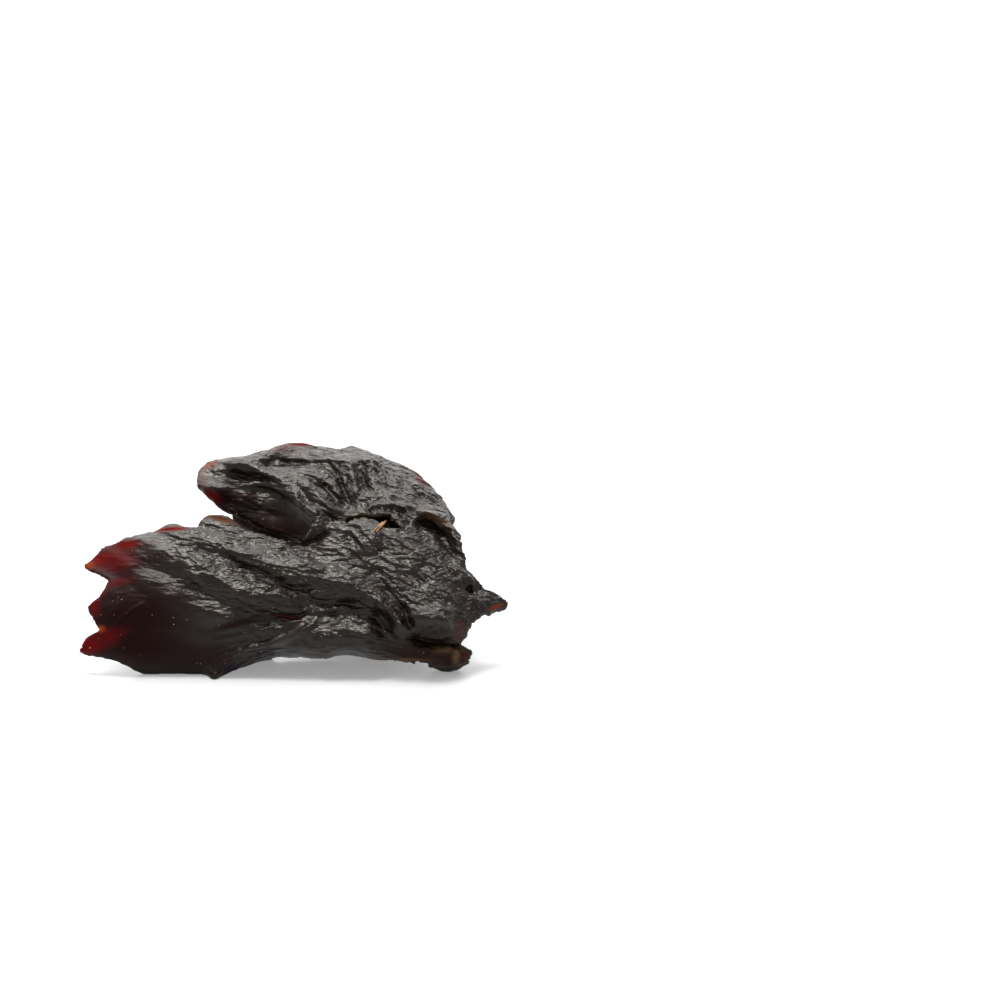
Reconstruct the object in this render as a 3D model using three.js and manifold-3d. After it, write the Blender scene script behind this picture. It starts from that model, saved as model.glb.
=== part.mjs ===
// A whole air-dried rabbit liver, in millimetres, +Z up, resting on the plane z = 0.
// It dried curled over into a low arch: the front lobe leans back from its lower edge, the upper lobe lies
// over the crest, and the rear lobe comes down behind. The lobes are thin leaves that stay joined at the
// root of the liver, on the right, and part from each other on the left. All of it is one piece of meat.
import * as THREE from "three";
import { mergeVertices } from "three/addons/utils/BufferGeometryUtils.js";
import { ImprovedNoise } from "three/addons/math/ImprovedNoise.js";
import Module from "manifold-3d";

const wasm = await Module();
wasm.setup();
const noise = new ImprovedNoise();

// Driving dimensions of the arch. Its line in the YZ plane runs from the front foot over the crest to the
// rear foot; both feet start just under the table, and are cut flat there at the end.
const ARCH_LINE = [
  [-23.5, -1], [-25.2, 5], [-23.8, 11.5], [-18.5, 18.5], [-10.5, 24.6], [-1, 29.6],
  [8.5, 33], [16.5, 31.6], [21.5, 24], [24, 13], [27, 3], [28, -1],
];
const NARROWING = 0.6; // share of its size that the arch loses towards the root, on the right
const NARROWING_SPAN = [10, 50]; // where along x it would lose all of that
const ROOT_FORWARD = 9; // how far the root end sits in front of the middle
const ROOT_SPAN = [10, 34]; // where along x it comes forward
const BELLY_TUCK = 10; // how far the lower edge turns under the belly
const BELLY_SPAN = [-12, -2]; // where along x that begins
const FOOT_TUCK = 4.5; // how far it turns under the foot, at the right of the belly
const FOOT_SPAN = [16, 27];
const TUCK_HEIGHT = 10; // below which the edge turns under
const TIP_RETREAT = { from: -20, reach: 19, depth: 3 }; // how the left-hand fingers bend backwards
const TOOTH = { at: -11.2, width: 1.5, height: 3.2, reach: 4 }; // it points forward beside the belly

// Driving dimensions of the lobes: thickness of the flesh, and of its dried edge.
const EDGE_THICKNESS = 0.9;
const FRONT_THICKNESS = 3.4;
const UPPER_THICKNESS = 4.6;
const REAR_THICKNESS = 3.0;
const TAIL_THICKNESS = 3.2;
const EDGE_TAPER = 6; // width of the rim over which a lobe thins to its edge
const EDGE_STEP = 1.25; // spacing of the points along an edge
const EDGE_RAGGEDNESS = 0.55; // how far an edge strays from its outline
const REAR_RAGGEDNESS = 0.2;
const RAG_SCALE = 0.9; // waves a millimetre of that
const EDGE_CURL = 0.7; // how far an edge curls off the arch, or towards it
const CURL_LENGTH = 6; // how long such a curl is
const CURL_RIM = 5; // and how far it reaches in from the edge
const RELIEF_AT_EDGE = 0.3; // share of the skin's relief that is left at an edge
const RELIEF_RIM = 2; // how far in from an edge all of it is there
const REAR_DEPTH = 2.4; // how far the rear lobe lies inside the others
const REAR_END = { from: 21, radius: 9, smallest: 0.1 }; // how its right-hand end rounds off

const smooth = (value, from, to) => THREE.MathUtils.smoothstep(value, from, to);

function plateau(value, rise, full, fall, gone) {
  return smooth(value, rise, full) * (1 - smooth(value, fall, gone));
}

const archLine = new THREE.CatmullRomCurve3(
  ARCH_LINE.map(([y, z]) => new THREE.Vector3(0, y, z)),
  false,
  "centripetal",
);
archLine.arcLengthDivisions = 400;
const ARCH_LENGTH = archLine.getLength();

// How far the lower edge of the front lobe lies behind the arch's own line.
function turnedUnder(x, z) {
  const tuck = BELLY_TUCK * smooth(x, ...BELLY_SPAN) - (BELLY_TUCK - FOOT_TUCK) * smooth(x, ...FOOT_SPAN);
  const tooth = TOOTH.reach * Math.exp(-(((x - TOOTH.at) / TOOTH.width) ** 2));
  return tuck * Math.max(0, 1 - z / TUCK_HEIGHT) ** 2 - tooth * Math.max(0, 1 - z / TOOTH.height);
}

// A point of the arch: x runs to the right, t is the way over the arch from the front foot.
function archPoint(x, t, end) {
  const angle = end ? Math.max(0, (x - end.from) / end.radius) : 0;
  const across = angle > 0 ? end.from + end.radius * Math.sin(angle) : x;
  const rounding = end ? end.smallest + (1 - end.smallest) * Math.cos(angle) : 1;
  const size = rounding * (1 - NARROWING * smooth(across, ...NARROWING_SPAN));
  const p = archLine.getPointAt(THREE.MathUtils.clamp(t / ARCH_LENGTH, 0, 1));
  const z = p.z * size;
  let y = p.y * size - ROOT_FORWARD * smooth(across, ...ROOT_SPAN);
  if (t < ARCH_LENGTH / 4) y += turnedUnder(x, z);
  if (x < TIP_RETREAT.from) y += TIP_RETREAT.depth * ((TIP_RETREAT.from - x) / TIP_RETREAT.reach) ** 2;
  return new THREE.Vector3(across, y, z);
}

// The arch's outward direction at a point.
function archNormal(x, t, end) {
  const reach = 0.3;
  const from = THREE.MathUtils.clamp(t, reach, ARCH_LENGTH - reach);
  const across = archPoint(x + reach, from, end).sub(archPoint(x - reach, from, end));
  const over = archPoint(x, from + reach, end).sub(archPoint(x, from - reach, end));
  return across.cross(over).normalize();
}

// Flat geometry in the unrolled (x, t) plane of a lobe.
function distanceToSegment(x, t, [ax, at], [bx, bt]) {
  const dx = bx - ax;
  const dt = bt - at;
  const share = THREE.MathUtils.clamp(((x - ax) * dx + (t - at) * dt) / (dx * dx + dt * dt), 0, 1);
  return Math.hypot(x - ax - share * dx, t - at - share * dt);
}

function distanceToPath(x, t, path, closed = false) {
  let nearest = Infinity;
  for (let i = closed ? 0 : 1; i < path.length; i++)
    nearest = Math.min(nearest, distanceToSegment(x, t, path.at(i - 1), path[i]));
  return nearest;
}

function isInside(x, t, path) {
  let inside = false;
  for (let i = 0; i < path.length; i++) {
    const [ax, at] = path.at(i - 1);
    const [bx, bt] = path[i];
    if (at > t !== bt > t && x < ((bx - ax) * (t - at)) / (bt - at) + ax) inside = !inside;
  }
  return inside;
}

// The edge of a lobe: its outline with points added along each side, and made ragged between the corners.
function raggedEdge(outline, raggedness, seed) {
  const edge = [];
  outline.forEach(([ax, at], i) => {
    const [bx, bt] = outline[(i + 1) % outline.length];
    const length = Math.hypot(bx - ax, bt - at);
    const steps = Math.max(1, Math.round(length / EDGE_STEP));
    for (let k = 0; k < steps; k++) {
      const share = k / steps;
      const x = ax + share * (bx - ax);
      const t = at + share * (bt - at);
      const off = k === 0 ? 0 : raggedness * noise.noise(x * RAG_SCALE, t * RAG_SCALE, seed);
      edge.push([x - (off * (bt - at)) / length, t + (off * (bx - ax)) / length]);
    }
  });
  return edge;
}

// Points in rows of equal triangles inside an edge, each strayed a little so that the skin looks grown.
const STRAY = 0.12; // share of the spacing that a point strays
const STRAY_SCALE = 1.7;
const CLEAR_OF_EDGE = 0.62; // share of the spacing that a point keeps from the edge

function innerPoints(edge, spacing, seed) {
  const points = [];
  const stray = (x, t, of) => STRAY * spacing * noise.noise(x * STRAY_SCALE, t * STRAY_SCALE, of);
  const xs = edge.map((p) => p[0]);
  const ts = edge.map((p) => p[1]);
  const rowHeight = (spacing * Math.sqrt(3)) / 2;
  for (let row = 0, t = Math.min(...ts); t < Math.max(...ts); t += rowHeight, row++)
    for (let x = Math.min(...xs) + (row % 2) * (spacing / 2); x < Math.max(...xs); x += spacing) {
      const px = x + stray(x, t, seed);
      const pt = t + stray(x, t, seed + 9);
      const room = distanceToPath(px, pt, edge, true);
      if (isInside(px, pt, edge) && room > CLEAR_OF_EDGE * spacing) points.push([px, pt]);
    }
  return points;
}

// Delaunay triangles of a set of points, each anticlockwise, by adding one point at a time.
function delaunay(points) {
  const far = 1000;
  const all = [...points, [-far, -far], [far, -far], [0, far]];
  const circle = (a, b, c) => {
    const [ax, ay] = all[a];
    const [bx, by] = [all[b][0] - ax, all[b][1] - ay];
    const [cx, cy] = [all[c][0] - ax, all[c][1] - ay];
    const d = 2 * (bx * cy - by * cx);
    const ux = (cy * (bx * bx + by * by) - by * (cx * cx + cy * cy)) / d;
    const uy = (bx * (cx * cx + cy * cy) - cx * (bx * bx + by * by)) / d;
    return { corners: [a, b, c], x: ax + ux, y: ay + uy, r2: ux * ux + uy * uy };
  };
  const n = points.length;
  let triangles = [circle(n, n + 1, n + 2)];
  points.forEach(([px, py], i) => {
    const sides = new Map();
    const kept = [];
    for (const triangle of triangles) {
      if ((px - triangle.x) ** 2 + (py - triangle.y) ** 2 >= triangle.r2 * (1 - 1e-12)) {
        kept.push(triangle);
        continue;
      }
      const [a, b, c] = triangle.corners;
      for (const [from, to] of [[a, b], [b, c], [c, a]]) {
        if (sides.has(`${to},${from}`)) sides.delete(`${to},${from}`);
        else sides.set(`${from},${to}`, [from, to]);
      }
    }
    for (const [from, to] of sides.values()) kept.push(circle(from, to, i));
    triangles = kept;
  });
  return triangles.map((triangle) => triangle.corners).filter((corners) => corners.every((k) => k < n));
}

// Triangles that fill an edge. Where a side of the edge is missing from them, it is returned for splitting.
function fill(edge, spacing, seed) {
  const points = [...edge, ...innerPoints(edge, spacing, seed)];
  const middle = (corners, k) => corners.reduce((sum, i) => sum + points[i][k], 0) / 3;
  const triangles = delaunay(points).filter((c) => isInside(middle(c, 0), middle(c, 1), edge));
  const sides = new Set(triangles.flatMap(([a, b, c]) => [`${a},${b}`, `${b},${c}`, `${c},${a}`]));
  const missing = edge.map((_, i) => i).filter((i) => !sides.has(`${i},${(i + 1) % edge.length}`));
  return { points, triangles, missing };
}

function splitSides(edge, sides) {
  return edge.flatMap((p, i) => {
    const q = edge[(i + 1) % edge.length];
    return sides.has(i) ? [p, [(p[0] + q[0]) / 2, (p[1] + q[1]) / 2]] : [p];
  });
}

// One lobe: a leaf of flesh whose outer and inner skins meet in a thin edge. It is laid out flat in (x, t),
// then laid over the arch, with its outer skin on it.
function leaf(lobe) {
  const { outline, thickness, spacing, lift, relief, end, seed } = lobe;
  const { raggedness = EDGE_RAGGEDNESS, taper = EDGE_TAPER } = lobe;
  const turned = THREE.ShapeUtils.area(outline.map(([x, t]) => new THREE.Vector2(x, t))) < 0;
  let edge = raggedEdge(turned ? [...outline].reverse() : outline, raggedness, seed);
  let skins;
  for (let round = 0; round < 6; round++) {
    skins = spacing.map((gap, i) => fill(edge, gap, seed + i));
    const missing = new Set(skins.flatMap((skin) => skin.missing));
    if (!missing.size) break;
    edge = splitSides(edge, missing);
  }
  const positions = [];
  const faces = [];
  const place = (x, t, isOuter) => {
    const depth = distanceToPath(x, t, edge, true);
    const flesh = EDGE_THICKNESS + (thickness - EDGE_THICKNESS) * smooth(depth, 0, taper);
    const share = RELIEF_AT_EDGE + (1 - RELIEF_AT_EDGE) * smooth(depth, 0, RELIEF_RIM);
    const skin = isOuter ? relief(x, t) * share : -flesh;
    const rim = 1 - smooth(depth, 0, CURL_RIM);
    const curl = EDGE_CURL * noise.noise(x / CURL_LENGTH, t / CURL_LENGTH, seed + 4) * rim;
    const off = lift(x, t) + curl + skin;
    positions.push(...archPoint(x, t, end).addScaledVector(archNormal(x, t, end), off));
  };
  const [outer, inner] = skins;
  for (const [x, t] of outer.points) place(x, t, true);
  for (const [x, t] of inner.points) place(x, t, false);
  const start = outer.points.length;
  for (const [a, b, c] of outer.triangles) faces.push(a, b, c);
  for (const [a, b, c] of inner.triangles) faces.push(start + a, start + c, start + b);
  edge.forEach((_, i) => {
    const next = (i + 1) % edge.length;
    faces.push(i, start + i, start + next, i, start + next, next);
  });
  const geometry = new THREE.BufferGeometry();
  geometry.setAttribute("position", new THREE.Float32BufferAttribute(positions, 3));
  geometry.setIndex(faces);
  return geometry;
}

// A fold is a ridge, or with a negative height a furrow, along a path in (x, t).
function foldHeight(x, t, { height, width, path }) {
  return height * Math.exp(-((distanceToPath(x, t, path) / width) ** 2));
}

function foldsHeight(x, t, folds) {
  return folds.reduce((sum, fold) => sum + foldHeight(x, t, fold), 0);
}

// A bump is a round swelling.
const bumpHeight = (x, t, { height, radii, at }) =>
  height * Math.exp(-(((x - at[0]) / radii[0]) ** 2) - ((t - at[1]) / radii[1]) ** 2);

// Fine crinkles that run down to the right, as the skin of the front lobe shrank.
const CRINKLE_SLANT = 0.45;
const CRINKLE_LENGTH = 5;
const CRINKLE_WIDTH = 2.6;

function crinkle(x, t, seed) {
  const along = (x - CRINKLE_SLANT * t) / CRINKLE_LENGTH;
  const across = (t + CRINKLE_SLANT * x) / CRINKLE_WIDTH;
  return 1 - 2 * Math.abs(noise.noise(along, across, seed));
}

// The front lobe, with three pointed fingers on the left and a spike at the root on the right.
const FRONT_OUTLINE = [
  // from the tip of the top finger along the upper edge to the torn neck
  [-35, 21], [-32.6, 24.5], [-28.3, 27.7], [-22.2, 29.9], [-20, 30.9], [-17.6, 30.1], [-15.4, 30.2],
  [-14.4, 33.2], [-12.5, 33.5], [-9.8, 32.6], [-7.4, 29.6], [-2.4, 28], [0.3, 27.1], [2.9, 27.3],
  [4.3, 28.8], [5.3, 31.6], [8, 31.2], [11.1, 30.7], [16, 33.1], [17.5, 31.8], [21.3, 33.7],
  // up to the crest, down the right-hand edge, and round the spike
  [22.6, 38.7], [24.6, 44.2], [28, 48], [30.2, 45], [31.2, 38], [31.8, 32.4], [33.4, 31.4],
  [35.1, 28.8], [36.7, 28.8], [39.6, 26.9], [38.9, 24.6], [35.5, 20.8], [33.1, 15.4], [31.5, 9.9],
  // the foot, the belly and its tooth
  [32.9, 6.4], [32, 3.4], [30.6, 0.9], [27.2, 0.9], [26.1, 3.5], [24.5, 5.2], [22.5, 3.4], [19.7, 1.6],
  [15.3, 0], [9.9, 2], [5.3, 1.6], [-2.2, 2.2], [-3, -0.2], [-6.5, 1.2], [-9.2, -0.6],
  [-10.9, 1.6], [-12.8, 0.5],
  // the lower edge and the two lower fingers
  [-18, 0.3], [-24.9, 1.3], [-28.4, 3.7], [-35.6, 5.2], [-34.6, 7.2], [-31.6, 9.4], [-32, 10.2],
  [-33.8, 13.3], [-31.3, 16.5], [-30.4, 18.7],
];

const FRONT_FOLDS = [
  // the long ridges that run down to the right from the fingers
  { height: 1.0, width: 1.7, path: [[-27, 20.8], [-21.1, 17.5], [-14, 14.6], [-9.1, 12.1]] },
  { height: 1.0, width: 2.2, path: [[-24.4, 26.6], [-17.1, 23.8], [-11.6, 20.8], [-5.4, 17.5], [1.7, 14.3]] },
  { height: 0.7, width: 1.8, path: [[-20, 29], [-14, 27.4], [-7.5, 24.4], [-1, 21], [6, 18.2], [13, 17]] },
  // where the belly turns under
  { height: 1.1, width: 1.3, path: [[-10.4, 4.9], [-6.3, 7], [-1.9, 8.2], [3.4, 9.9], [6.6, 12.1]] },
  { height: 0.7, width: 1.6, path: [[3.5, 11.2], [7.8, 12.4], [13.3, 12], [18.3, 11.8]] },
  { height: -0.9, width: 1.3, path: [[-2.6, 13], [0.9, 12.5], [3.5, 12.1]] },
  // the edge of the skin that the raised flap tore away from, and the furrows beside it
  { height: 1.0, width: 1.3, path: [[12.5, 15.8], [17.4, 15.3], [20.1, 13.1], [22.3, 10.6]] },
  { height: -0.8, width: 1.3, path: [[21.2, 16.5], [23.2, 13.8], [24.3, 11.5]] },
  { height: -1.7, width: 1.2, path: [[22.8, 9.2], [27, 8.7], [31, 8.4]] },
  // creases at the neck, under the torn edge
  { height: -0.8, width: 1.2, path: [[2.3, 25.4], [5.1, 26.6], [7.8, 29]] },
  { height: -0.6, width: 1.2, path: [[11.8, 26.4], [13.2, 23.8], [15.4, 24.3], [17.3, 26.4]] },
  // the rolled edge near the crest, and the hollow inside it
  { height: 0.8, width: 1.3, path: [[24.6, 43.2], [28, 47], [30, 43.5], [30.8, 36]] },
  { height: -1.1, width: 1.6, path: [[23.9, 38.9], [27, 41], [28.8, 35.8]] },
  { height: -1.4, width: 1.2, path: [[32.8, 26.6], [33.2, 27]] },
];

const FRONT_BUMPS = [
  { height: 1.5, radii: [4.2, 2.6], at: [27.2, 14.4] }, // the raised flap at the lower right
  { height: 1.6, radii: [2.6, 2.6], at: [29.5, 5.5] }, // the thick foot under it
  { height: 0.7, radii: [3.4, 4], at: [15, 27.5] },
];

const SWELL = 0.5; // height of the broad swells of the skin
const FRONT_SWELL_LENGTH = 7;
const FRONT_CRINKLE = 0.18; // height of the crinkles on the front lobe
const FRONT_LEVEL = -0.2; // where its skin lies between them, off the arch
const NECK = { from: 2, to: 44, slope: 4, stand: 0.9 }; // where its upper edge stands off the arch
const NECK_RISE = [22, 31]; // along t

function frontRelief(x, t) {
  const bumps = FRONT_BUMPS.reduce((sum, bump) => sum + bumpHeight(x, t, bump), 0);
  const broad = SWELL * noise.noise(x / FRONT_SWELL_LENGTH, t / FRONT_SWELL_LENGTH, 3.3);
  return foldsHeight(x, t, FRONT_FOLDS) + bumps + broad + FRONT_CRINKLE * crinkle(x, t, 7.1) + FRONT_LEVEL;
}

function neckStand(x, t) {
  const along = plateau(x, NECK.from, NECK.from + NECK.slope, NECK.to, NECK.to + NECK.slope);
  return NECK.stand * along * smooth(t, ...NECK_RISE);
}

const frontLobe = leaf({
  outline: FRONT_OUTLINE,
  thickness: FRONT_THICKNESS,
  spacing: [1.25, 2.5],
  lift: neckStand,
  relief: frontRelief,
  seed: 1.5,
});

// The upper lobe, plump at its left-hand tip and gathered into a fan of wrinkles above the torn root.
const UPPER_OUTLINE = [
  // the plump tip and the lower edge, which runs in behind the front lobe
  [-16.9, 43.7], [-16.6, 41.9], [-13, 37.2], [-9.1, 34], [-6.3, 31.9], [-2.9, 29.7], [2, 28], [6, 27.5],
  [9.5, 29], [11.2, 33], [16, 34.8], [19, 37.3], [21.3, 33.9], [23, 30], [25, 26], [30, 25],
  // the right-hand edge, over the crest, and the edge behind it
  [30, 34], [28.9, 44], [29, 54], [30.2, 62], [29, 69], [24, 73], [17, 71], [12, 74], [6, 70], [4, 64],
  [4.6, 59],
  // back along the upper edge
  [1.8, 57], [-2, 56], [-5.9, 53.8], [-10.6, 50.7], [-14.3, 49.3], [-15.6, 48.9], [-16.7, 46.4],
];

const UPPER_FOLDS = [
  { height: 0.6, width: 1.4, path: [[-14, 46.9], [-9.6, 49], [-3.3, 52], [2, 55]] },
  { height: 1.2, width: 1.2, path: [[-0.9, 44.3], [2.1, 41.3], [5.1, 37], [7.9, 33.6]] },
  { height: 0.8, width: 1.2, path: [[1.9, 45.6], [5.9, 42], [8.7, 37]] },
  { height: 0.8, width: 1.3, path: [[9.9, 48], [11.5, 41.5], [12.5, 37]] },
  { height: 0.7, width: 1.3, path: [[14.8, 53], [15.2, 46], [14.6, 39.5]] },
  { height: 0.8, width: 1.4, path: [[14.5, 38.5], [19, 42], [23, 45.4], [27.5, 48.6]] },
  { height: 0.7, width: 1.3, path: [[-15.2, 41.9], [-9.5, 39], [-4.4, 36.3], [0.7, 35.2], [4, 33.4]] },
  { height: -1.1, width: 1.7, path: [[-8.2, 45.5], [-4, 44.5], [0.2, 42.7]] },
  { height: -0.8, width: 1.2, path: [[-4.3, 49.2], [-0.3, 48.9], [3.1, 48.3]] },
  { height: -0.9, width: 1.2, path: [[5.7, 41.2], [8, 38.2], [10, 35.7]] },
  { height: -1.0, width: 1.2, path: [[7.8, 47], [9.8, 42.2], [11.2, 36.8]] },
  { height: -0.8, width: 1.2, path: [[13, 48.5], [13.4, 43.3], [13.3, 38.6]] },
  { height: -0.7, width: 1.2, path: [[16.8, 51.6], [17.2, 47.1], [18.7, 44.2]] },
];

const UPPER_SWELL_LENGTHS = [5, 3.5]; // along x and along t
const UPPER_CRINKLE = 0.2;
const UPPER_LEVEL = -0.3;
const TOP_SWELLS = [
  { height: 0.7, span: [-9, -4, 4, 8] },
  { height: 0.9, span: [17, 22, 25, 30] },
];
const TOP_RISE = [48, 56]; // along t

// The crinkles of the upper lobe run up to the right, so t is counted down from its middle.
function upperRelief(x, t) {
  const [wide, high] = UPPER_SWELL_LENGTHS;
  const broad = SWELL * noise.noise(x / wide, t / high, 2.2);
  const fine = UPPER_CRINKLE * crinkle(x + 7, 40 - t, 8.8);
  return foldsHeight(x, t, UPPER_FOLDS) + broad + fine + UPPER_LEVEL;
}

// Its top swells in two places, behind the tip and above the root.
function topSwell(x, t) {
  const along = TOP_SWELLS.reduce((sum, { height, span }) => sum + height * plateau(x, ...span), 0);
  return along * smooth(t, ...TOP_RISE);
}

const upperLobe = leaf({
  outline: UPPER_OUTLINE,
  thickness: UPPER_THICKNESS,
  spacing: [1.25, 2.6],
  lift: topSwell,
  relief: upperRelief,
  seed: 22.5,
});

// The rear lobe comes down to the table behind and rounds off the right-hand end under the other two.
const REAR_OUTLINE = [
  [-8, 51], [-11, 56], [-12.5, 62], [-11, 68], [-13, 75], [-12, 83], [-9, 89], [-9.5, 94], [-6, 96.1],
  [0, 96.1], [4, 94], [9, 96.1], [16, 96.1], [23, 96.1], [29.5, 96.1], [31.6, 90], [31, 80], [32, 68],
  [31.2, 55], [32.2, 42], [31.4, 30], [32, 20], [30.5, 12], [27, 10], [24, 14], [16, 20], [11, 27],
  [5, 32], [2, 40], [-1, 46],
];

// Ripples run down over the rear lobe, wavering and slanted, with small swells between them.
const RIPPLE = { height: 0.6, spacing: 7, slant: 0.35, waver: 2.5, waverLength: 9 };
const REAR_SWELL = 0.6;

function rearRelief(x, t) {
  const waver = RIPPLE.waver * noise.noise(x / RIPPLE.waverLength, t / RIPPLE.waverLength, 6.4);
  const phase = (2 * Math.PI * (x - RIPPLE.slant * t + waver)) / RIPPLE.spacing;
  return RIPPLE.height * Math.cos(phase) + REAR_SWELL * noise.noise(x / 4, t / 5, 1.1);
}

const rearLobe = leaf({
  outline: REAR_OUTLINE,
  raggedness: REAR_RAGGEDNESS,
  thickness: REAR_THICKNESS,
  spacing: [2.1, 2.8],
  lift: () => -REAR_DEPTH,
  relief: rearRelief,
  end: REAR_END,
  seed: 41.5,
});

// The small tail lobe lies on the rear one.
const TAIL_OUTLINE = [
  [7, 71], [13, 67], [21, 66], [26, 70], [28, 78], [25, 86], [19, 90], [14, 87], [12, 81], [8, 78],
];

const TAIL_TAPER = 4;
const TAIL_STAND = 0.3; // how far its skin stands off the arch
const tailRelief = (x, t) => SWELL * noise.noise(x / 3, t / 4, 12.1);

const tailLobe = leaf({
  outline: TAIL_OUTLINE,
  thickness: TAIL_THICKNESS,
  taper: TAIL_TAPER,
  spacing: [1.7, 2.4],
  lift: () => TAIL_STAND,
  relief: tailRelief,
  end: REAR_END,
  seed: 63.5,
});

function solidOf(geometry) {
  const bare = new THREE.BufferGeometry();
  bare.setAttribute("position", geometry.getAttribute("position"));
  bare.setIndex(geometry.getIndex());
  const merged = mergeVertices(bare, 1e-4);
  return new wasm.Manifold(
    new wasm.Mesh({
      numProp: 3,
      vertProperties: merged.attributes.position.array,
      triVerts: new Uint32Array(merged.index.array),
    }),
  );
}

function geometryOf(solid) {
  const mesh = solid.getMesh();
  const geometry = new THREE.BufferGeometry();
  geometry.setAttribute("position", new THREE.BufferAttribute(new Float32Array(mesh.vertProperties), 3));
  geometry.setIndex(new THREE.BufferAttribute(new Uint32Array(mesh.triVerts), 1));
  return geometry;
}

// What would reach under the table is cut away, which leaves the flat spots that the piece rests on.
const tableSide = 200;
const table = new THREE.BoxGeometry(tableSide, tableSide, tableSide).translate(0, 0, -tableSide / 2);

const lobes = [frontLobe, upperLobe, rearLobe, tailLobe];
const joined = lobes.map(solidOf).reduce((whole, lobe) => whole.add(lobe));
const liverSolid = joined
  .subtract(solidOf(table))
  .decompose()
  .reduce((largest, body) => (body.volume() > largest.volume() ? body : largest));

const liverGeometry = geometryOf(liverSolid);
liverGeometry.computeBoundingBox();
const middle = liverGeometry.boundingBox.getCenter(new THREE.Vector3());
liverGeometry.translate(-middle.x, -middle.y, 0);

const driedLiver = new THREE.MeshStandardMaterial({ color: 0x221713, roughness: 0.42, metalness: 0 });
const liver = new THREE.Mesh(liverGeometry, driedLiver);
liver.name = "dried_liver";

const part = new THREE.Group();
part.add(liver);
export default part;
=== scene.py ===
import math

import bmesh
import bpy
import numpy as np
from mathutils import Matrix, Vector, noise
from mathutils.bvhtree import BVHTree
from mathutils.kdtree import KDTree


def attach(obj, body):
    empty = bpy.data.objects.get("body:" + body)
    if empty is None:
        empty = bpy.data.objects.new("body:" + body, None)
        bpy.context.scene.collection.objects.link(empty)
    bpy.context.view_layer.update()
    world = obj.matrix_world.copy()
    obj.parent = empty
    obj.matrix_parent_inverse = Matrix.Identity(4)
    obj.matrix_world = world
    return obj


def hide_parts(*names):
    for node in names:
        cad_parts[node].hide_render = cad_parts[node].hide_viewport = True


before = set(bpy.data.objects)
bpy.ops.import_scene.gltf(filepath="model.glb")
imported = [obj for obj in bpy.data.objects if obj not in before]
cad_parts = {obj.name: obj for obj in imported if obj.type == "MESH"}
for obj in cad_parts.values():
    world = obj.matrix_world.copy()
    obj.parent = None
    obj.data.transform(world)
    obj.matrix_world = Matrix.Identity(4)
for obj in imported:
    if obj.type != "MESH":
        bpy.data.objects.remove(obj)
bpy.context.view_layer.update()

# The camera stands low in front of the piece, a long lens looking 13 degrees down. The folds below are
# placed on the sheet that it sees: millimetres to the right of a point on the table under the piece, and
# above it.
MM = 0.001
LENS = 85
SENSOR = 36
NEAREST_SEEN = 0.01
ELEVATION = math.radians(13)
DISTANCE = 437
SHEET_ORIGIN = Vector((-2.09, 0.52, 0))
AIM = (38.33, 25.37)
scene = bpy.context.scene


def placed(name, data):
    """A new object in the scene."""
    made = bpy.data.objects.new(name, data)
    scene.collection.objects.link(made)
    return made


right = Vector((1, 0, 0))
up = Vector((0, math.sin(ELEVATION), math.cos(ELEVATION)))
ahead = Vector((0, math.cos(ELEVATION), -math.sin(ELEVATION)))
eye = SHEET_ORIGIN - DISTANCE * ahead + AIM[0] * right + AIM[1] * up
camera = placed("camera", bpy.data.cameras.new("camera"))
camera.data.lens = LENS
camera.data.sensor_width = SENSOR
camera.data.clip_start = NEAREST_SEEN
camera.matrix_world = Matrix.Translation(eye * MM) @ Matrix((right, up, -ahead)).transposed().to_4x4()
scene.camera = camera


def seen(points):
    """Where points, in millimetres, lie on the sheet."""
    from_eye = points - np.array(eye)
    depth = from_eye @ np.array(ahead)
    across = AIM[0] + DISTANCE * (from_eye @ np.array(right)) / depth
    above = AIM[1] + DISTANCE * (from_eye @ np.array(up)) / depth
    return np.stack([across, above], axis=1)


# The liver: one leathery piece of air-dried meat, its lobes curled over into a low arch. It starts from the
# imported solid, its facets rounded off on an even net of small faces, and its skin is then drawn into folds.
# Sizes are in millimetres until the skin is done, but for SAME_POINT, which is in metres.
NET = 0.245
MOST_TRIANGLES = 190000
SAME_POINT = 1e-6
RIM_ANGLE = math.radians(35)
RIM_CREASE = 0.75
EVENING = 0.5
EVENING_TIMES = 4
MOST_THICKNESS = 6
UNDER_SKIN = 0.02
FACING = (0, 0.3)
SEEN_DEPTH = (0.4, 1.5)
THIN_EDGE = (0.5, 1.8)
LEAST_ROOM = 0.3
SEED = 7
chance = np.random.default_rng(SEED)
noise.seed_set(SEED)


def mesh_of(bm, name):
    """A mesh of what a bmesh holds; the bmesh itself goes."""
    mesh = bpy.data.meshes.new(name)
    bm.to_mesh(mesh)
    bm.free()
    return mesh


def rounded_copy(node):
    """A copy of a node's mesh in millimetres, its facets rounded off, on an even net of faces."""
    bm = bmesh.new()
    bm.from_mesh(node.data)
    bmesh.ops.remove_doubles(bm, verts=bm.verts, dist=SAME_POINT)
    bmesh.ops.scale(bm, vec=(1 / MM,) * 3, verts=bm.verts)
    crease = bm.edges.layers.float.new("crease_edge")
    for edge in bm.edges:
        edge[crease] = RIM_CREASE if edge.calc_face_angle(0) > RIM_ANGLE else 0
    piece = placed("rounded", mesh_of(bm, "rounded"))
    facets = piece.modifiers.new("facets", "SUBSURF")
    facets.levels = facets.render_levels = 1
    net = piece.modifiers.new("net", "REMESH")
    net.mode = "VOXEL"
    net.voxel_size = NET
    even = piece.modifiers.new("even", "SMOOTH")
    even.factor = EVENING
    even.iterations = EVENING_TIMES
    return finished(piece)


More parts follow.
